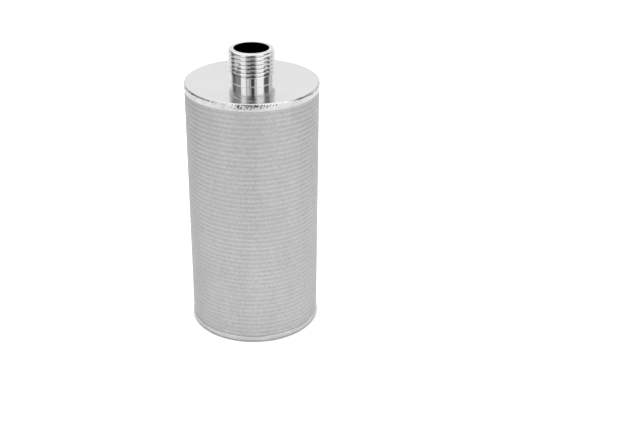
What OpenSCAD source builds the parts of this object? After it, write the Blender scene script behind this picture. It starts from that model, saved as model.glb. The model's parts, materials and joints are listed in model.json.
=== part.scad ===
// Sintered wire-mesh filter element. A rolled tube of sintered mesh is closed at the foot by a disc
// of the same mesh, and at the top by a plate cap that carries a turned, threaded outlet nipple.
// Millimetres, +Z up, origin at the centre of the foot, seam of the tube at the back (+Y).

/* [Mesh tube] */
// Height from the foot to the top face of the cap
body_h = 120; // [60:1:300]
// Diameter over the ridges of the rolled mesh
tube_d = 60.8; // [45:0.2:90]
// Thickness of the sintered mesh, ridges included
mesh_t = 1.7; // [1.3:0.1:3]
// Spacing of the coarse wires that stand out as ridges
ridge_pitch = 2.2; // [1.6:0.1:4]
// Height of a ridge over the valleys beside it
ridge_h = 0.3; // [0.1:0.05:0.45]

/* [Mesh disc] */
// How far the disc lies above the surface that the foot stands on
disc_recess = 0.25; // [0.1:0.05:1]

/* [End cap] */
// Thickness of the cap plate
cap_t = 2.5; // [2:0.1:6]

/* [Welds] */
// How far both end welds stand proud of the ridges
rim_proud = 0.1; // [0.05:0.05:0.5]
// Depth of the end welds and of the seam weld below the ridges
weld_depth = 0.8; // [0.5:0.1:1.2]
// How far each end weld runs onto the mesh of the tube
weld_lap = 1; // [0.5:0.1:3]
// How far the weld round the cap leans in at its top
weld_lean = 0.4; // [0.2:0.05:0.5]
// Height of the leaning part of the weld round the cap
weld_lean_h = 0.8; // [0.6:0.1:2]
// Radius of the rounded corner of the foot weld
foot_round = 1.1; // [0.5:0.1:1.2]
// Width of the seam weld
seam_w = 2.6; // [1.5:0.1:5]
// Leg of the fillet weld round the neck of the nipple
fillet_leg = 0.3; // [0.2:0.1:1]

/* [Outlet nipple] */
// Major diameter of the outlet thread
thread_d = 20.95; // [19:0.05:33]
// Length of the thread, its end chamfer included
thread_l = 10.5; // [6:0.5:25]
// Chamfer of the end of the thread
thread_chamfer = 0.9; // [0.3:0.1:1.3]
// Length of the thread relief from the cap to the thread
relief_l = 4.7; // [2:0.1:10]
// Depth of the thread relief below the crests of the thread
relief_depth = 1.2; // [0.5:0.05:1.3]
// Length of the flank between the relief and the thread
relief_flank = 0.6; // [0.2:0.1:1.2]
// Bore of the outlet
bore_d = 15.7; // [8:0.1:17.5]
// Chamfer of the edge of the bore
bore_chamfer = 0.3; // [0.1:0.05:0.4]
// Radial clearance of the nipple in the hole of the cap
nipple_fit = 0.05; // [0.02:0.01:0.2]

/* [Hidden] */
$fn = 128;

// Radii, from the inside of the tube outwards
tube_r = tube_d / 2;
tube_in_r = tube_r - mesh_t;
land_r = tube_r - weld_depth;
disc_r = (tube_in_r + land_r) / 2;
rim_r = tube_r + rim_proud;
// A ridge is an arc that meets the next ridge in a valley
ridge_r = (ridge_pitch * ridge_pitch / 4 + ridge_h * ridge_h) / (2 * ridge_h);

// Heights, from the foot upwards: the tube stands on the disc and carries the cap
tube_z0 = disc_recess + mesh_t;
weave_z0 = tube_z0 + weld_lap;
tube_z1 = body_h - cap_t;
weave_z1 = tube_z1 - weld_lap;
weave_l = weave_z1 - weave_z0;

// Radii and heights of the nipple
thread_r = thread_d / 2;
neck_r = thread_r - relief_depth;
bore_r = bore_d / 2;
thread_z0 = body_h + relief_l;
nipple_z1 = thread_z0 + thread_l;

mesh_colour = "#bcbcba";
plate_colour = "#e2e2e1";
turned_colour = "#d4d4d3";
weld_colour = "#d0cfcc";

// Section of the sintered mesh: flat inside, on x = 0, and ridged outside, cut to a length along y
module mesh_section(length) {
    intersection() {
        square([mesh_t, length]);
        union() {
            square([mesh_t - ridge_h, length]);
            for (y = [ridge_pitch / 2 : ridge_pitch : length + ridge_pitch / 2])
                translate([mesh_t - ridge_r, y]) circle(r = ridge_r);
        }
    }
}

// Section of the cap weld: it laps the edge of the cap and the end of the tube, and leans in at its top
module cap_weld_section() {
    lean_r = (weld_lean_h * weld_lean_h + weld_lean * weld_lean) / (2 * weld_lean);
    lean_z = body_h - weld_lean_h;
    intersection() {
        translate([land_r, weave_z1]) square([rim_r - land_r, body_h - weave_z1]);
        union() {
            translate([land_r, weave_z1]) square([rim_r - land_r, lean_z - weave_z1]);
            translate([rim_r - lean_r, lean_z]) circle(r = lean_r);
        }
    }
}

// Section of the foot weld: it laps the edge of the disc and the end of the tube, with a flat foot
module foot_section() {
    corner_r = rim_r - foot_round;
    difference() {
        translate([disc_r, 0]) union() {
            square([corner_r - disc_r, weave_z0]);
            translate([0, foot_round]) square([rim_r - disc_r, weave_z0 - foot_round]);
            translate([corner_r - disc_r, foot_round]) circle(r = foot_round);
        }
        square([disc_r, weave_z0]);
        translate([disc_r, tube_z0]) square([land_r - disc_r, weld_lap]);
    }
}

// The groove along the back of the tube and the weld that fills it
module seam_strip() {
    translate([0, 0, weave_z0]) intersection() {
        difference() {
            cylinder(h = weave_l, r = rim_r);
            cylinder(h = weave_l, r = land_r);
        }
        translate([-seam_w / 2, 0, 0]) cube([seam_w, rim_r, weave_l]);
    }
}

module mesh_tube() {
    color(mesh_colour) difference() {
        rotate_extrude() union() {
            translate([tube_in_r, tube_z0]) square([land_r - tube_in_r, tube_z1 - tube_z0]);
            translate([tube_in_r, weave_z0]) mesh_section(weave_l);
        }
        seam_strip();
    }
}

// A disc cut from the flat mesh, ridges down
module bottom_mesh_disc() {
    color(mesh_colour) intersection() {
        translate([0, 0, disc_recess]) cylinder(h = mesh_t, r = disc_r);
        translate([-disc_r, -disc_r, tube_z0])
            rotate([0, 90, 0]) linear_extrude(2 * disc_r) mesh_section(2 * disc_r);
    }
}

// A plain round plate with a hole for the nipple
module end_cap() {
    hole_r = neck_r + nipple_fit;
    color(plate_colour) rotate_extrude() translate([hole_r, tube_z1]) square([land_r - hole_r, cap_t]);
}

// Turned in one piece: spigot through the cap, relief, thread blank and through bore
module threaded_nipple() {
    color(turned_colour) rotate_extrude() polygon([
        [bore_r, tube_z1],
        [neck_r, tube_z1],
        [neck_r, thread_z0 - relief_flank],
        [thread_r, thread_z0],
        [thread_r, nipple_z1 - thread_chamfer],
        [thread_r - thread_chamfer, nipple_z1],
        [bore_r + bore_chamfer, nipple_z1],
        [bore_r, nipple_z1 - bore_chamfer],
    ]);
}

module top_weld() {
    color(weld_colour) rotate_extrude() cap_weld_section();
}

module bottom_weld() {
    color(weld_colour) rotate_extrude() foot_section();
}

module seam_weld() {
    color(weld_colour) seam_strip();
}

module nipple_weld() {
    color(weld_colour) rotate_extrude() translate([neck_r, body_h]) intersection() {
        circle(r = fillet_leg);
        square(fillet_leg);
    }
}

mesh_tube();
bottom_mesh_disc();
end_cap();
threaded_nipple();
top_weld();
bottom_weld();
seam_weld();
nipple_weld();
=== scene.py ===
"""Looks of a sintered filter element: woven mesh, weld beads, turned nipple, studio and camera."""
import json
import math
from contextlib import contextmanager

import bmesh
import bpy
from mathutils import Euler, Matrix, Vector


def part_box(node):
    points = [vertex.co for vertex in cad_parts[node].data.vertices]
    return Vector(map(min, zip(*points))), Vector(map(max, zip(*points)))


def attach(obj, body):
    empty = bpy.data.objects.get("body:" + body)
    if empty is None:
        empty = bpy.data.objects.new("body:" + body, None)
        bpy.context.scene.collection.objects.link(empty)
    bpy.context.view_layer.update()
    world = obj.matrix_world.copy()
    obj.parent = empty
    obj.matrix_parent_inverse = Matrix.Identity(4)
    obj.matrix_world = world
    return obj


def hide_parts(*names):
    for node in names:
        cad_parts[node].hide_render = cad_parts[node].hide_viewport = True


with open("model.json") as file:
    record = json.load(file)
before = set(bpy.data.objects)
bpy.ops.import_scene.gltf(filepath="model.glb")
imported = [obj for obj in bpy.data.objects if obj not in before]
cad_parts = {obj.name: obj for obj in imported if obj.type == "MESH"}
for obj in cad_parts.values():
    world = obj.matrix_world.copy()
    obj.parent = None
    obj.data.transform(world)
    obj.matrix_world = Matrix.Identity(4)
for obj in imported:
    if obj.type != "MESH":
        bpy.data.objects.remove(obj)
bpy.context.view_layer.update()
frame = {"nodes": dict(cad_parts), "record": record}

MM = 0.001
TURN = 2 * math.pi

# Sizes and places that the frame gives
tube_low, tube_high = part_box("mesh_tube")
disc_low, disc_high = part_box("bottom_mesh_disc")
cap_weld_low, cap_weld_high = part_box("top_weld")
foot_low, foot_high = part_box("bottom_weld")
seam_low, seam_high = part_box("seam_weld")
nipple_low, nipple_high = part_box("threaded_nipple")
fillet_low, fillet_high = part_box("nipple_weld")
mounts = {mount["name"]: mount for mount in frame["record"]["mounts"]}
thread = mounts["outlet_thread"]
bore = mounts["outlet_bore"]

TUBE_R = -tube_low.y
RIM_R = foot_high.x
DISC_R = disc_high.x
WEAVE_BOTTOM = seam_low.z
WEAVE_TOP = seam_high.z
WEAVE_L = WEAVE_TOP - WEAVE_BOTTOM
SEAM_W = seam_high.x - seam_low.x
THREAD_R = thread["dims"]["r_mm"] * MM
THREAD_L = thread["dims"]["length_mm"] * MM
THREAD_LOW = thread["pos_m"][2] - THREAD_L / 2
THREAD_HIGH = thread["pos_m"][2] + THREAD_L / 2
BORE_R = bore["dims"]["r_mm"] * MM
BORE_L = bore["dims"]["length_mm"] * MM
NECK_R = fillet_high.x - (fillet_high.z - fillet_low.z)

# Sizes of the mesh, and the depth of the welds in it
MESH_T = 1.7 * MM
RIDGE_H = 0.3 * MM
RIDGE_PITCH = 2.2 * MM
KNUCKLE_PITCH = 1.24 * MM
WELD_DEPTH = 0.8 * MM
LAND_R = TUBE_R - WELD_DEPTH
VALLEY_R = TUBE_R - RIDGE_H

# Points closer than MERGE are merged, and places closer than SAME count as one
MERGE = 0.002 * MM
SAME = 0.01 * MM
# Angles in degrees from which an edge stays sharp
WEAVE_SHARP = 60
WELD_SHARP = 70
TURNED_SHARP = 20


# Modelling by hand

def named(name):
    """Names the object that an operator has just added."""
    piece = bpy.context.object
    piece.name = name
    piece.data.name = name
    return piece


def take(piece):
    """Makes a piece the only selected one."""
    bpy.ops.object.select_all(action="DESELECT")
    piece.select_set(True)
    bpy.context.view_layer.objects.active = piece


@contextmanager
def edit_mode(piece):
    """Edit mode on one piece, with nothing selected at the start."""
    take(piece)
    bpy.ops.object.mode_set(mode="EDIT")
    bpy.ops.mesh.select_mode(type="VERT")
    bpy.ops.mesh.select_all(action="DESELECT")
    yield
    bpy.ops.object.mode_set(mode="OBJECT")


def pick(piece, kind, test):
    """Selects, in edit mode, the points or edges that pass a test."""
    bpy.ops.mesh.select_mode(type=kind)
    bpy.ops.mesh.select_all(action="DESELECT")
    mesh = bmesh.from_edit_mesh(piece.data)
    for part in {"VERT": mesh.verts, "EDGE": mesh.edges}[kind]:
        if test(part):
            part.select_set(True)
    mesh.select_flush_mode()
    bmesh.update_edit_mesh(piece.data, loop_triangles=False, destructive=False)


def middle(edge):
    """Middle of an edge."""
    return (edge.verts[0].co + edge.verts[1].co) / 2


def near(a, b):
    """Whether two places along an axis are the same."""
    return abs(a - b) < SAME


def from_axis(point):
    """Distance of a point from the Z axis."""
    return math.hypot(point.x, point.y)


def apply(piece, modifier):
    """Applies a modifier to a piece."""
    take(piece)
    bpy.ops.object.modifier_apply(modifier=modifier.name)


def settle(piece):
    """Puts a piece's place, turn and size into its mesh."""
    take(piece)
    bpy.ops.object.transform_apply(location=True, rotation=True, scale=True)


def close_up(piece):
    """Merges a piece's seams and turns its faces outwards."""
    with edit_mode(piece):
        bpy.ops.mesh.select_all(action="SELECT")
        bpy.ops.mesh.remove_doubles(threshold=MERGE)
        bpy.ops.mesh.normals_make_consistent(inside=False)


def smooth(piece, degrees):
    """Shades a piece smooth, but for the edges that are sharper than an angle."""
    take(piece)
    bpy.ops.object.shade_smooth_by_angle(angle=math.radians(degrees))


def repeat(piece, count, step):
    """Copies a piece in a straight row and merges the copies."""
    array = piece.modifiers.new("repeat", "ARRAY")
    array.count = count
    array.use_relative_offset = False
    array.use_constant_offset = True
    array.constant_offset_displace = step
    array.use_merge_vertices = True
    array.merge_threshold = MERGE
    apply(piece, array)


def roll_up(piece, width, radius):
    """Rolls a flat sheet, centred across X with its outer face up, round the Z axis."""
    piece.rotation_euler.x = TURN / 4
    settle(piece)
    bend = piece.modifiers.new("roll", "SIMPLE_DEFORM")
    bend.deform_method = "BEND"
    bend.deform_axis = "Z"
    bend.angle = width / radius
    apply(piece, bend)
    piece.location.y = -radius
    settle(piece)


def cut(piece, tool, operation):
    """Cuts a piece with a tool, which is then put away."""
    boolean = piece.modifiers.new("cut", "BOOLEAN")
    boolean.operation = operation
    boolean.object = tool
    apply(piece, boolean)
    bpy.data.objects.remove(tool)


def uneven(piece, test, length, depth, direction="NORMAL"):
    """Lets the points that pass a test wander, as on work done by hand."""
    group = piece.vertex_groups.new(name="face")
    group.add([point.index for point in piece.data.vertices if test(point.co)], 1, "REPLACE")
    clouds = bpy.data.textures.new(piece.name, "CLOUDS")
    clouds.noise_scale = length
    wander = piece.modifiers.new("uneven", "DISPLACE")
    wander.texture = clouds
    wander.texture_coords = "LOCAL"
    wander.direction = direction
    wander.strength = depth
    wander.vertex_group = group.name
    apply(piece, wander)
    piece.vertex_groups.clear()


def arc(centre, radius, start, end, steps):
    """Points of an arc in the plane of radius and height, from one angle to another in degrees."""
    angles = [math.radians(start + (end - start) * i / steps) for i in range(steps + 1)]
    return [(centre[0] + radius * math.cos(a), centre[1] + radius * math.sin(a)) for a in angles]


def flat_arc(half_chord, height):
    """Radius of a flat arc over half a chord, and the degrees that it turns through there."""
    radius = (half_chord ** 2 + height ** 2) / (2 * height)
    return radius, math.degrees(math.asin(half_chord / radius))


def trace(name, outline):
    """Draws a closed outline of radius and height, by extruding a point from corner to corner."""
    bpy.ops.object.select_all(action="DESELECT")
    bpy.ops.mesh.primitive_plane_add(size=MM)
    piece = named(name)
    with edit_mode(piece):
        bpy.ops.mesh.select_all(action="SELECT")
        bpy.ops.mesh.merge(type="CENTER")
        bpy.ops.transform.translate(value=(outline[0][0], 0, outline[0][1]))
        for (r0, z0), (r1, z1) in zip(outline, [*outline[1:], outline[0]]):
            bpy.ops.mesh.extrude_vertices_move(TRANSFORM_OT_translate={"value": (r1 - r0, 0, z1 - z0)})
        bpy.ops.mesh.select_all(action="SELECT")
        bpy.ops.mesh.remove_doubles(threshold=MERGE)
    return piece


def spin(piece, steps, angle=TURN, copies=False):
    """Turns a piece's outline, or copies of the whole piece, round the Z axis."""
    with edit_mode(piece):
        bpy.ops.mesh.select_all(action="SELECT")
        bpy.ops.mesh.spin(steps=steps, angle=angle, center=(0, 0, 0), axis=(0, 0, 1), dupli=copies)
    close_up(piece)


def pull_edge(move=(0, 0, 0), flat=None):
    """Extrudes the selected edges along a move, or straight to a flat height."""
    bpy.ops.mesh.extrude_edges_move(TRANSFORM_OT_translate={"value": move})
    if flat is not None:
        bpy.ops.transform.resize(value=(1, 1, 0), center_override=(0, 0, flat))


# The woven mesh

# Heights from the valley between two coarse wires over one wire, and how much of them is left
# on a knuckle and in the gap beside it
RIDGE_LEVELS = (0.0, 0.55, 1.0, 0.55)
KNUCKLE_LEVELS = (1.0, 0.45)
ROWS_TO_WIRE = len(RIDGE_LEVELS)
CELL_COLUMNS = len(KNUCKLE_LEVELS)
CELL_ROWS = 2 * ROWS_TO_WIRE
CELL_L = 2 * RIDGE_PITCH
DISC_SIDES = 192
# How far the crests wander in and out and the coarse wires up and down, and over what length
CREST_WANDER = 0.04 * MM
CREST_WANDER_L = 2.5 * MM
WIRE_WANDER = 0.15 * MM
WIRE_WANDER_L = 9 * MM
# Name of the attribute that keeps how near to a crest a point of the weave is
CREST = "crest"


def weave_level(row, column):
    """Height of the weave at a point of its grid, as a share of the height of a ridge.

    Each thin wire rides over one coarse wire, in a knuckle, and dives under the next.
    """
    wire, step = divmod(row, ROWS_TO_WIRE)
    return RIDGE_LEVELS[step] * KNUCKLE_LEVELS[(wire + column) % CELL_COLUMNS]


def woven_sheet(name, cell_w, across, along):
    """A flat sheet of mesh with its outer face up: coarse wires along X, thin wires along Y."""
    bpy.ops.object.select_all(action="DESELECT")
    bpy.ops.mesh.primitive_grid_add(x_subdivisions=CELL_COLUMNS, y_subdivisions=CELL_ROWS, size=1)
    sheet = named(name)
    grid = Vector((cell_w / CELL_COLUMNS, CELL_L / CELL_ROWS))

    def level(point):
        return weave_level(round(point.co.y / grid.y), round(point.co.x / grid.x))

    with edit_mode(sheet):
        bpy.ops.mesh.select_all(action="SELECT")
        bpy.ops.transform.translate(value=(0.5, 0.5, 0))
        bpy.ops.transform.resize(value=(cell_w, CELL_L, 1), center_override=(0, 0, 0))
        for height in {ridge * knuckle for ridge in RIDGE_LEVELS for knuckle in KNUCKLE_LEVELS}:
            pick(sheet, "VERT", lambda point: level(point) == height)
            bpy.ops.transform.translate(value=(0, 0, height * RIDGE_H))
    repeat(sheet, across, (cell_w, 0, 0))
    repeat(sheet, along, (0, CELL_L, 0))
    crest = sheet.data.attributes.new(CREST, "FLOAT", "POINT")
    crest.data.foreach_set("value", [point.co.z / RIDGE_H for point in sheet.data.vertices])
    return sheet


def make_mesh_tube():
    """A sheet of mesh with bare edges for the welds, rolled until its sides almost meet."""
    width = TURN * VALLEY_R - SEAM_W
    across = round(width / KNUCKLE_PITCH)
    tube = woven_sheet("mesh_tube_weave", width / across, across, math.ceil(WEAVE_L / CELL_L))
    land_z = LAND_R - VALLEY_R
    inner_z = TUBE_R - MESH_T - VALLEY_R
    ends = ((0, tube_low.z - WEAVE_BOTTOM), (WEAVE_L, tube_high.z - WEAVE_BOTTOM))
    with edit_mode(tube):
        bpy.ops.mesh.select_all(action="SELECT")
        bpy.ops.mesh.bisect(
            plane_co=(0, WEAVE_L, 0), plane_no=(0, 1, 0), clear_outer=True, threshold=MERGE,
        )
        for y, end_y in ends:
            pick(tube, "EDGE", lambda edge: edge.is_boundary and near(middle(edge).y, y))
            pull_edge(flat=land_z)
            pull_edge(move=(0, end_y - y, 0))
            pull_edge(move=(0, 0, inner_z - land_z))
        pick(tube, "EDGE", lambda edge: edge.is_boundary and near(middle(edge).z, inner_z))
        bpy.ops.mesh.bridge_edge_loops()
        for side in (0, width):
            pick(tube, "EDGE", lambda edge: edge.is_boundary and near(middle(edge).x, side))
            bpy.ops.mesh.edge_face_add()
        bpy.ops.mesh.select_all(action="SELECT")
        bpy.ops.transform.translate(value=(-width / 2, 0, 0))
    roll_up(tube, width, VALLEY_R)
    tube.location.z = WEAVE_BOTTOM
    settle(tube)
    close_up(tube)

    def on_face(point):
        return from_axis(point) > VALLEY_R - MERGE

    def away_from_ends(point):
        return WEAVE_BOTTOM + CELL_L < point.z < WEAVE_TOP - CELL_L

    uneven(tube, on_face, CREST_WANDER_L, CREST_WANDER)
    uneven(tube, away_from_ends, WIRE_WANDER_L, WIRE_WANDER, "Z")
    smooth(tube, WEAVE_SHARP)
    return tube


def make_mesh_disc():
    """A disc cut from the flat mesh, its wires facing down."""
    across = math.ceil(2 * DISC_R / KNUCKLE_PITCH)
    along = math.ceil(2 * DISC_R / CELL_L)
    disc = woven_sheet("mesh_disc_weave", KNUCKLE_PITCH, across, along)
    with edit_mode(disc):
        pick(disc, "EDGE", lambda edge: edge.is_boundary)
        pull_edge(flat=RIDGE_H - MESH_T)
        bpy.ops.mesh.edge_face_add()
        bpy.ops.mesh.select_all(action="SELECT")
        bpy.ops.transform.translate(value=(-across * KNUCKLE_PITCH / 2, -DISC_R, 0))
        bpy.ops.mesh.normals_make_consistent(inside=False)
    bpy.ops.object.select_all(action="DESELECT")
    bpy.ops.mesh.primitive_cylinder_add(vertices=DISC_SIDES, radius=DISC_R, depth=4 * MESH_T)
    cut(disc, named("disc_cutter"), "INTERSECT")
    disc.rotation_euler.x = TURN / 2
    disc.location.z = disc_low.z + RIDGE_H
    settle(disc)
    close_up(disc)
    smooth(disc, WEAVE_SHARP)
    return disc


# Weld beads, each modelled as one ripple and repeated

# Height of a ripple at each of its steps, a slow rise and a quick fall, and the level that stays in place
RIPPLE_LEVELS = (0.0, 0.45, 1.0, 0.75)
RIPPLE_STEPS = len(RIPPLE_LEVELS)
RIPPLE_MEAN = 0.5
# A point belongs to a step of a ripple if it is nearer to it than this share of a step
STEP_SLACK = 0.25
# Height of the ripples of a ring, how far their middles lean ahead, and how many there are
RIPPLE_H = 0.1 * MM
RIPPLE_LEAN = 0.9 * MM
RING_RIPPLES = 144
# Rows of points up a bead, and the rounding of its toe
BEAD_ROWS = 6
TOE_ROUND = 0.25 * MM
TOE_STEPS = 3
# The cap's bead: its lean at the top, its crown, where its ripples start and are full, as shares of
# its upright side, and its lumps
LEAN_IN = 0.4 * MM
LEAN_H = 0.8 * MM
CROWN = 0.1 * MM
RIPPLES_START = 0.3
RIPPLES_FULL = 0.8
LUMP_H = 0.3 * MM
LUMP_L = 0.6 * MM
# The foot's bead: its corner, the heights up to which it stays smooth and even, and its waves
FOOT_ROUND = 1.1 * MM
FOOT_ROWS = 3
FOOT_SMOOTH = FOOT_ROUND / 8
FOOT_EVEN = FOOT_ROUND / 4
FOOT_WAVE_H = 0.1 * MM
FOOT_WAVE_L = 3 * MM
# The seam's bead: how far its sides fall, its ripples, and how many are cut off again at each end
SEAM_FALL = 0.25 * MM
SEAM_RIPPLE_H = 0.08 * MM
SPARE_RIPPLES = 2


def ripple_ring(name, outline, on_face, share):
    """A ring of weld ripples: one slice of an outline is rippled, leaned over and copied round.

    The ripples are as high as the share of RIPPLE_H at each height of the face.
    """
    slice_angle = TURN / RING_RIPPLES
    ring = trace(name, outline)
    spin(ring, RIPPLE_STEPS, slice_angle)
    heights = sorted({round(z, 6) for r, z in outline if on_face(Vector((r, 0, z)))})
    mid = (heights[0] + heights[-1]) / 2
    half = (heights[-1] - heights[0]) / 2

    def in_row(point, height):
        return on_face(point.co) and near(point.co.z, height)

    def at_step(point, step):
        angle = abs(math.atan2(point.co.y, point.co.x))
        return abs(angle * RIPPLE_STEPS / slice_angle - step) < STEP_SLACK

    with edit_mode(ring):
        for height in heights:
            for step, level in enumerate([*RIPPLE_LEVELS, RIPPLE_LEVELS[0]]):
                pick(ring, "VERT", lambda point: in_row(point, height) and at_step(point, step))
                grow = 1 + RIPPLE_H * (level - RIPPLE_MEAN) * share(height) / RIM_R
                bpy.ops.transform.resize(value=(grow, grow, 1), center_override=(0, 0, 0))
            pick(ring, "VERT", lambda point: in_row(point, height))
            lean = RIPPLE_LEAN / RIM_R * (1 - ((height - mid) / half) ** 2)
            bpy.ops.transform.rotate(value=lean, orient_axis="Z", center_override=(0, 0, 0))
    spin(ring, RING_RIPPLES - 1, TURN - slice_angle, copies=True)
    return ring


def make_cap_bead():
    """The bead round the cap: smooth over the mesh, rippled above, and rounded in over the plate."""
    low, high = cap_weld_low.z, cap_weld_high.z
    side_low = low + TOE_ROUND
    side_high = high - LEAN_H
    lean_r, reach = flat_arc(LEAN_H, LEAN_IN)
    toe = arc((RIM_R - TOE_ROUND - CROWN, side_low), TOE_ROUND, -90, 0, TOE_STEPS)
    shares = [i / BEAD_ROWS for i in range(1, BEAD_ROWS)]
    side = [(RIM_R - CROWN * (1 - i) ** 2, side_low + (side_high - side_low) * i) for i in shares]
    corner = arc((RIM_R - lean_r, side_high), lean_r, 0, reach, BEAD_ROWS)
    outline = [(LAND_R, low), *toe, *side, *corner, (LAND_R, high)]

    def share(z):
        rise = (z - low) / (side_high - low)
        return max(0, min(1, (rise - RIPPLES_START) / (RIPPLES_FULL - RIPPLES_START)))

    def on_face(point):
        return side_low + MERGE < point.z < high - MERGE and from_axis(point) > LAND_R + MERGE

    def rippled(point):
        return on_face(point) and share(point.z) > 0

    ring = ripple_ring("cap_weld_bead", outline, on_face, share)
    uneven(ring, rippled, LUMP_L, LUMP_H)
    smooth(ring, WELD_SHARP)
    return ring


def make_foot_bead():
    """The bead round the foot, with a flat ring to stand on and a rounded, rippled corner."""
    high = foot_high.z
    side_high = high - TOE_ROUND
    corner = arc((RIM_R - FOOT_ROUND, FOOT_ROUND), FOOT_ROUND, -90, 0, FOOT_ROWS)
    side = [(RIM_R, FOOT_ROUND + (side_high - FOOT_ROUND) * i / FOOT_ROWS) for i in range(1, FOOT_ROWS)]
    toe = arc((RIM_R - TOE_ROUND, side_high), TOE_ROUND, 0, 90, TOE_STEPS)
    inside = [(LAND_R, high), (LAND_R, disc_high.z), (DISC_R, disc_high.z)]
    outline = [(DISC_R, foot_low.z), *corner, *side, *toe, *inside]

    def share(z):
        return min(1, z / FOOT_ROUND)

    def on_face(point):
        return FOOT_SMOOTH < point.z < side_high + MERGE and from_axis(point) > RIM_R - FOOT_ROUND

    def wavy(point):
        return point.z > FOOT_EVEN and from_axis(point) > LAND_R + MERGE

    ring = ripple_ring("foot_weld_bead", outline, on_face, share)
    uneven(ring, wavy, FOOT_WAVE_L, FOOT_WAVE_H)
    smooth(ring, WELD_SHARP)
    return ring


def make_seam_bead():
    """The bead along the tube where the rolled mesh meets: one crescent ripple, repeated in a row."""
    half = SEAM_W / 2
    pitch = TURN * RIM_R / RING_RIPPLES
    ground = math.sqrt(LAND_R ** 2 - half ** 2)
    crown_r, reach = flat_arc(half, SEAM_FALL)
    face = arc((0, RIM_R - crown_r), crown_r, 90 - reach, 90 + reach, BEAD_ROWS)
    bead = trace("seam_weld_bead", [(-half, ground), (half, ground), *face])
    toe = RIM_R - SEAM_FALL + MERGE

    def on_face(point):
        return point.co.z > toe

    with edit_mode(bead):
        bpy.ops.mesh.select_all(action="SELECT")
        for _ in RIPPLE_LEVELS:
            pull_edge(move=(0, pitch / RIPPLE_STEPS, 0))
        for step, level in enumerate(RIPPLE_LEVELS):
            at = pitch * step / RIPPLE_STEPS
            pick(bead, "VERT", lambda point: on_face(point) and near(point.co.y, at))
            bpy.ops.transform.translate(value=(0, 0, SEAM_RIPPLE_H * level))
        for x, _ in face[1:-1]:
            pick(bead, "VERT", lambda point: on_face(point) and near(point.co.x, x))
            bpy.ops.transform.translate(value=(0, pitch * (1 - (x / half) ** 2), 0))
        bpy.ops.mesh.select_all(action="SELECT")
        bpy.ops.transform.translate(value=(0, -SPARE_RIPPLES * pitch, 0))
    repeat(bead, math.ceil(WEAVE_L / pitch) + 2 * SPARE_RIPPLES, (0, pitch, 0))
    with edit_mode(bead):
        for y, side in ((0, -1), (WEAVE_L, 1)):
            bpy.ops.mesh.select_all(action="SELECT")
            bpy.ops.mesh.bisect(
                plane_co=(0, y, 0), plane_no=(0, side, 0), clear_outer=True, use_fill=True, threshold=MERGE,
            )
    bead.rotation_euler.x = -TURN / 4
    bead.location.z = WEAVE_TOP
    settle(bead)
    close_up(bead)
    smooth(bead, WELD_SHARP)
    return bead


# The turned nipple

# A pipe thread of 55 degrees with rounded roots and crests
THREAD_PITCH = 1.814 * MM
THREAD_DEPTH = 0.6403 * THREAD_PITCH
THREAD_ROUND = 0.1373 * THREAD_PITCH
ROOT_R = THREAD_R - THREAD_DEPTH
# Turn of a flank from the radius, and of the last bit of a crest that the tool cuts, in degrees
FLANK_TURN = 62.5
CREST_TURN = 10
# How far the tool stands out of the blank, and how far below the thread it starts
TOOL_REACH = 0.15 * MM
TOOL_LEAD = 1.5 * THREAD_PITCH
RELIEF_FLANK = 0.6 * MM
# Steps round the nipple, and in the arcs of the thread, of its end and of the bore's edge
TURN_STEPS = 96
THREAD_STEPS = 4
END_STEPS = 6
BORE_STEPS = 5


def make_thread_tool():
    """The groove that is cut into the nipple, wound from the relief past the end."""
    start_z = THREAD_LOW - TOOL_LEAD
    root_centre = (ROOT_R + THREAD_ROUND, 0)
    crest_centre = (THREAD_R - THREAD_ROUND, THREAD_PITCH / 2)
    root = arc(root_centre, THREAD_ROUND, 180, 180 - FLANK_TURN, THREAD_STEPS)
    crest = arc(crest_centre, THREAD_ROUND, -FLANK_TURN, -CREST_TURN, THREAD_STEPS)
    upper = [*root, *crest, (THREAD_R + TOOL_REACH, crest[-1][1])]
    lower = [(r, -z) for r, z in reversed(upper[1:])]
    tool = trace("thread_tool", [(r, start_z + z) for r, z in [*upper, *lower]])
    wind = tool.modifiers.new("wind", "SCREW")
    wind.screw_offset = THREAD_PITCH
    wind.iterations = math.ceil((nipple_high.z - start_z) / THREAD_PITCH) + 1
    wind.steps = TURN_STEPS
    wind.render_steps = TURN_STEPS
    apply(tool, wind)
    with edit_mode(tool):
        bpy.ops.mesh.select_all(action="SELECT")
        bpy.ops.mesh.fill_holes(sides=0)
    close_up(tool)
    return tool


def make_nipple():
    """A turned blank with spigot, relief, rounded end and bore, and the thread cut into it."""
    top = nipple_high.z
    end_round = top - THREAD_HIGH
    bore_round = top - nipple_low.z - BORE_L
    nipple = trace("outlet_nipple", [
        (BORE_R, nipple_low.z),
        (NECK_R, nipple_low.z),
        (NECK_R, THREAD_LOW - RELIEF_FLANK),
        (THREAD_R, THREAD_LOW - RELIEF_FLANK / 2),
        *arc((THREAD_R - end_round, THREAD_HIGH), end_round, 0, 90, END_STEPS),
        *arc((BORE_R + bore_round, top - bore_round), bore_round, 90, 180, BORE_STEPS),
    ])
    spin(nipple, TURN_STEPS)
    cut(nipple, make_thread_tool(), "DIFFERENCE")
    close_up(nipple)
    smooth(nipple, TURNED_SHARP)
    return nipple


# Finishes, with painted light on the mesh and painted shade in the nipple's bore

# Middle of a noise that goes from 0 to 1
NOISE_MEAN = 0.5
# Darkest and lightest grey of each metal
# The mesh's greys run from painted shade between the wires to a painted highlight on the crests
MESH_TONE_AND_PAINTED_LIGHT_GREYS = (0.545, 0.72)
PLATE_GREYS = (0.70, 0.77)
# The nipple's black is painted shade inside its bore
BORE_SHADE_AND_TURNED_GREYS = (0.0, 0.74)
WELD_GREYS = (0.54, 0.82)
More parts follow.
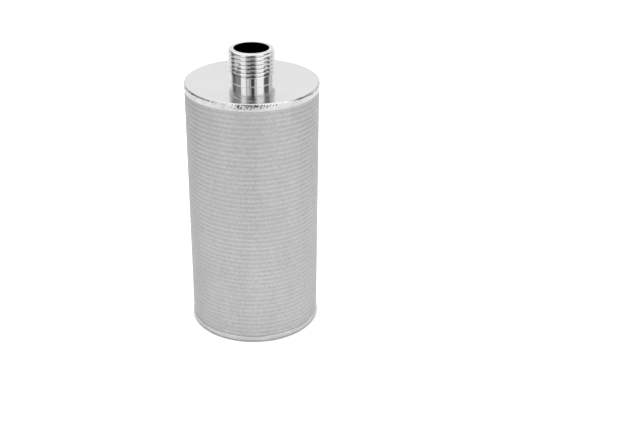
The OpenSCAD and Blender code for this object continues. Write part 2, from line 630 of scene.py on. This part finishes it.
# The mesh: sizes of its marks, how far the streaks are drawn out along the tube, and how much
# the painted highlight on the crests (painted shade between them), the single wires and the streaks
# brighten it
WIRE_MARK = 1.1 * MM
STREAK_MARK = 9 * MM
STREAK_DRAW = 0.15
PATCH_MARK = 25 * MM
MESH_BASE = 0.12
CREST_HIGHLIGHT_SHARE = 0.85
WIRE_SHARE = 0.7
STREAK_SHARE = 0.5
# Roughness of the mesh, how much smoother it is where it is bright, and its grain
MESH_ROUGH = 0.65
MESH_POLISH = 0.15
MESH_METALLIC = 0.75
MESH_GRAIN = 0.25 * MM
MESH_GRAIN_H = 0.02 * MM
MESH_GRAIN_DETAIL = 4
# The plate: sizes of its patches and rubbed places, its roughness and its grain
PLATE_PATCH = 20 * MM
PLATE_RUB = 9 * MM
PLATE_ROUGH = 0.1
PLATE_RUB_ROUGH = 0.08
PLATE_GRAIN = 1.5 * MM
PLATE_GRAIN_H = 0.001 * MM
# The nipple: where the painted shade of its bore fades out beyond the bore, its polish and its turning
# marks
BORE_SHADE_FADE_FROM = BORE_R + 0.05 * MM
BORE_SHADE_GONE_AT = BORE_R + 0.2 * MM
TURNED_POLISH = 0.91
TURNING_PITCH = 0.12 * MM
TURNING_H = 0.0004 * MM
# The welds: sizes of their patches and rubbed places, their roughness and their grain
WELD_PATCH = 4 * MM
WELD_RUB = 1.5 * MM
WELD_ROUGH = 0.08
WELD_RUB_ROUGH = 0.14
WELD_GRAIN = 0.5 * MM
WELD_GRAIN_H = 0.006 * MM


class Socket:
    """An output in a shader tree. Arithmetic on it adds Math nodes."""

    def __init__(self, tree, output=None):
        self.tree = tree
        self.output = output

    def node(self, kind, settings=None, inputs=None, out=0):
        """Adds a node of any kind: its settings first, then the values or links of its sockets."""
        node = self.tree.nodes.new(kind)
        for name, value in (settings or {}).items():
            if name == "stops":
                for stop, (at, colour) in zip(node.color_ramp.elements, value):
                    stop.position = at
                    stop.color = colour
            else:
                setattr(node, name, value)
        sockets = {socket.identifier: socket for socket in node.inputs}
        for name, value in (inputs or {}).items():
            if isinstance(value, Socket):
                self.tree.links.new(value.output, sockets[name])
            else:
                sockets[name].default_value = value
        return Socket(self.tree, node.outputs[out])

    def math(self, operation, first, second=0.0):
        """Adds a Math node."""
        return self.node("ShaderNodeMath", {"operation": operation}, {"Value": first, "Value_001": second})

    def __add__(self, other):
        return self.math("ADD", self, other)

    __radd__ = __add__

    def __sub__(self, other):
        return self.math("SUBTRACT", self, other)

    def __rsub__(self, other):
        return self.math("SUBTRACT", other, self)

    def __mul__(self, other):
        return self.math("MULTIPLY", self, other)

    __rmul__ = __mul__

    def noise(self, size, detail=2.0):
        """Noise of a size in metres, at this place."""
        inputs = {"Vector": self, "Scale": 1 / size, "Detail": detail}
        return self.node("ShaderNodeTexNoise", {}, inputs)

    def step(self, low, high):
        """0 below one value and 1 above another, smooth between them."""
        settings = {"interpolation_type": "SMOOTHSTEP"}
        return self.node("ShaderNodeMapRange", settings, {"Value": self, "From Min": low, "From Max": high})

    def grey(self, dark, light):
        """A grey from dark to light as this value goes from 0 to 1."""
        stops = ((0, (dark, dark, dark, 1)), (1, (light, light, light, 1)))
        return self.node("ShaderNodeValToRGB", {"stops": stops}, {"Fac": self})

    def parts(self):
        """The X, Y and Z of a vector."""
        split = self.node("ShaderNodeSeparateXYZ", {}, {"Vector": self}).output.node
        return [Socket(self.tree, output) for output in split.outputs]

    def from_axis(self):
        """Distance of a place from the Z axis."""
        x, y, _ = self.parts()
        return self.math("SQRT", x * x + y * y)


def new_material(name, inputs):
    """A material without a gloss of its own, from a function of its tree that gives its inputs."""
    material = bpy.data.materials.new(name)
    material.use_nodes = True
    tree = material.node_tree
    surface = tree.nodes["Principled BSDF"]
    surface.inputs["Specular IOR Level"].default_value = 0
    for socket, value in inputs(Socket(tree)).items():
        if isinstance(value, Socket):
            tree.links.new(value.output, surface.inputs[socket])
        else:
            surface.inputs[socket].default_value = value
    return material


def metal(name, colour, roughness, bump, metallic=lambda place: 1.0):
    """A metal finish from functions of the place on the piece: its grey, roughness, bump and metal.

    The bump's function also gives its height in metres.
    """
    def inputs(start):
        place = start.node("ShaderNodeTexCoord", out="Object")
        height, depth = bump(place)
        normal = place.node("ShaderNodeBump", {}, {"Height": height, "Strength": 1.0, "Distance": depth})
        return {
            "Base Color": colour(place),
            "Metallic": metallic(place),
            "Roughness": roughness(place),
            "Normal": normal,
        }

    return new_material(name, inputs)


def mesh_tone_and_painted_light():
    """Sintered wires: smoother where the crests were rolled flat, with a painted highlight on the crests,
    painted shade between them, and streaks.
    """
    # Painted light and random tone: a painted highlight on the crests and painted shade between them
    def crest(place):
        level = place.node("ShaderNodeAttribute", {"attribute_name": CREST}, out="Fac")
        wires = place.noise(WIRE_MARK, 0) - NOISE_MEAN
        along = place.node("ShaderNodeMapping", {}, {"Vector": place, "Scale": (1, 1, STREAK_DRAW)})
        streaks = along.noise(STREAK_MARK) - NOISE_MEAN
        patches = place.noise(PATCH_MARK) + NOISE_MEAN
        # Painted highlight on the knuckle crests and painted shade in the valleys, stronger in some patches
        crests = CREST_HIGHLIGHT_SHARE * level * level * patches
        return MESH_BASE + crests + WIRE_SHARE * wires + STREAK_SHARE * streaks

    return metal(
        "sintered_mesh",
        lambda place: crest(place).grey(*MESH_TONE_AND_PAINTED_LIGHT_GREYS),
        lambda place: MESH_ROUGH - MESH_POLISH * crest(place),
        lambda place: (place.noise(MESH_GRAIN, MESH_GRAIN_DETAIL), MESH_GRAIN_H),
        lambda place: MESH_METALLIC,
    )


def plate_finish():
    """Smooth rolled plate that still mirrors what stands on it."""
    return metal(
        "cap_plate",
        lambda place: place.noise(PLATE_PATCH).grey(*PLATE_GREYS),
        lambda place: PLATE_ROUGH + PLATE_RUB_ROUGH * place.noise(PLATE_RUB),
        lambda place: (place.noise(PLATE_GRAIN), PLATE_GRAIN_H),
    )


def nipple_finish_and_bore_shade():
    """Bright turned steel with fine turning marks, and painted shade inside its bore: black, fully rough
    and not metal there.
    """
    # Painted shade mask: 0 inside the bore, 1 on the turned outside
    def clear_of_bore_shade(place):
        return place.from_axis().step(BORE_SHADE_FADE_FROM, BORE_SHADE_GONE_AT)

    def turning(place):
        return place.math("SINE", place.parts()[2] * (TURN / TURNING_PITCH))

    return metal(
        "turned_steel",
        lambda place: clear_of_bore_shade(place).grey(*BORE_SHADE_AND_TURNED_GREYS),
        lambda place: 1 - TURNED_POLISH * clear_of_bore_shade(place),
        lambda place: (turning(place), TURNING_H),
        clear_of_bore_shade,
    )


def weld_finish():
    """Bright weld metal, smoother in some places than in others."""
    return metal(
        "weld_bead",
        lambda place: place.noise(WELD_PATCH).grey(*WELD_GREYS),
        lambda place: WELD_ROUGH + WELD_RUB_ROUGH * place.noise(WELD_RUB),
        lambda place: (place.noise(WELD_GRAIN), WELD_GRAIN_H),
    )


# Studio: white paper in a white room, with screens out of the camera's sight for the metal to mirror

# The photograph's point of view, with the turns in radians
SENSOR_W_MM = 36
LENS_MM = 59.651
CAMERA_PLACE = Vector((-2.68, -452.36, 282.38)) * MM
CAMERA_PITCH = 0.47551
CAMERA_YAW = 0.0757
CAMERA_ROLL = 0.01588
# The paper: how far it reaches from the element, in metres, and its grey
FLOOR_FRONT = 0.315
FLOOR_SIDE = 0.45
FLOOR_BACK = 2.0
FLOOR_GREY = 0.85
# Light that the paper adds to what falls on it, so that it is white: for the camera, and for the metal
FLOOR_GLOW = 0.65
METAL_GLOW = 0.15
# The glow fades out under the foot
GLOW_FROM = RIM_R - 0.25 * MM
GLOW_FULL = RIM_R + 1 * MM
# Screens round the element: azimuth from the camera's side and half width in degrees, and brightness
SCREENS = (
    (4, 10.5, 0.06),
    (-12.5, 2.5, 0.4),
    (-31.5, 1.5, 0.25),
    (22, 1.2, 0.3),
    (-48.5, 14.5, 1.45),
    (48, 19, 1.5),
    (-82, 19, 0.36),
    (-119, 18, 0.18),
    (89, 19, 0.15),
    (129, 21, 0.8),
)
# A cloth that hangs in front of the table, and a hood that hangs over the camera
CLOTH = (-4, 28, 0.07)
HOOD = (-3.5, 25.5, 0.14)
# Distance of the screens, the cloth and the hood, and their lower and upper edges as shares of it
SCREEN_SPAN = (4.0, -1.0, 0.85)
CLOTH_SPAN = (3.5, -1.0, -0.05)
HOOD_SPAN = (2.0, 0.56, 1.4)
# Height and side of the ceiling in metres, and its brightness
CEILING_HIGH = 4.0
CEILING_SIDE = 9.0
CEILING_LIGHT = 1.4


def plain_grey(value):
    """A grey of one value."""
    return (value, value, value, 1)


def make_camera():
    """The camera at the photograph's point of view."""
    data = bpy.data.cameras.new("camera")
    data.sensor_width = SENSOR_W_MM
    data.lens = LENS_MM
    camera = bpy.data.objects.new("camera", data)
    bpy.context.scene.collection.objects.link(camera)
    level = math.cos(CAMERA_PITCH)
    forward = Vector((math.sin(CAMERA_YAW) * level, math.cos(CAMERA_YAW) * level, -math.sin(CAMERA_PITCH)))
    turn = forward.to_track_quat("-Z", "Y").to_matrix() @ Euler((0, 0, CAMERA_ROLL)).to_matrix()
    camera.matrix_world = turn.to_4x4()
    camera.location = CAMERA_PLACE
    bpy.context.scene.camera = camera


def make_world():
    """White all round."""
    world = bpy.data.worlds.new("studio")
    bpy.context.scene.world = world
    world.use_nodes = True
    world.node_tree.nodes["Background"].inputs["Color"].default_value = plain_grey(1)


def add_plane(name, size, place, turn=(0, 0, 0)):
    """A plane for the studio, with its place, turn and size in its mesh."""
    bpy.ops.object.select_all(action="DESELECT")
    bpy.ops.mesh.primitive_plane_add(size=1, location=place, rotation=turn)
    plane = named(name)
    plane.scale = (*size, 1)
    settle(plane)
    return plane


def make_screen(name, size, place, turn, light):
    """A plain screen of one brightness, out of the camera's sight."""
    screen = add_plane(name, size, place, turn)
    screen.data.materials.append(new_material(name, lambda start: {
        "Base Color": plain_grey(0),
        "Emission Color": plain_grey(light),
        "Emission Strength": 1,
    }))
    screen.visible_camera = False


def make_screens():
    """Screens that stand round the element, and the ceiling over it."""
    standing = [(screen, SCREEN_SPAN) for screen in SCREENS] + [(CLOTH, CLOTH_SPAN), (HOOD, HOOD_SPAN)]
    for (azimuth, half_width, light), (far, low, high) in standing:
        turn = math.radians(azimuth)
        place = (far * math.sin(turn), -far * math.cos(turn), far * (low + high) / 2)
        size = (2 * far * math.tan(math.radians(half_width)), far * (high - low))
        make_screen("screen", size, place, (TURN / 4, 0, turn), light)
    make_screen("ceiling", (CEILING_SIDE, CEILING_SIDE), (0, 0, CEILING_HIGH), (0, 0, 0), CEILING_LIGHT)


def paper_inputs(start):
    """White paper that glows for the camera, and a little for the metal, but not under the foot."""
    camera = start.node("ShaderNodeLightPath", out="Is Camera Ray")
    glossy = start.node("ShaderNodeLightPath", out="Is Glossy Ray")
    through = start.node("ShaderNodeLightPath", out="Is Transmission Ray")
    seen = FLOOR_GLOW * camera + METAL_GLOW * camera.math("MAXIMUM", glossy, through)
    away = start.node("ShaderNodeTexCoord", out="Object").from_axis().step(GLOW_FROM, GLOW_FULL)
    return {
        "Base Color": plain_grey(FLOOR_GREY),
        "Roughness": 1,
        "Emission Color": (seen * away).grey(0, 1),
        "Emission Strength": 1,
    }


def make_floor():
    """A sheet of white paper on which only the shadow close by shows."""
    size = (2 * FLOOR_SIDE, FLOOR_BACK + FLOOR_FRONT)
    floor = add_plane("floor", size, (0, (FLOOR_BACK - FLOOR_FRONT) / 2, 0))
    floor.data.materials.append(new_material("floor", paper_inputs))


def place_piece(piece, node, material):
    """Dresses a modelled piece, and sets it in the place of its CAD node."""
    piece.data.materials.clear()
    piece.data.materials.append(material)
    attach(piece, "root")
    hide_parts(node)


make_camera()
make_world()
make_screens()
make_floor()

# The mesh's material has a painted highlight on the crests and painted shade between them
mesh_metal_painted_light = mesh_tone_and_painted_light()
plate_metal = plate_finish()
# The nipple's material has painted shade inside its bore
turned_metal_bore_shade = nipple_finish_and_bore_shade()
weld_metal = weld_finish()

place_piece(make_mesh_tube(), "mesh_tube", mesh_metal_painted_light)
place_piece(make_mesh_disc(), "bottom_mesh_disc", mesh_metal_painted_light)
place_piece(make_nipple(), "threaded_nipple", turned_metal_bore_shade)
place_piece(make_cap_bead(), "top_weld", weld_metal)
place_piece(make_foot_bead(), "bottom_weld", weld_metal)
place_piece(make_seam_bead(), "seam_weld", weld_metal)
frame["nodes"]["end_cap"].material_slots[0].material = plate_metal
frame["nodes"]["nipple_weld"].material_slots[0].material = weld_metal

bpy.context.scene.view_settings.view_transform = "Standard"
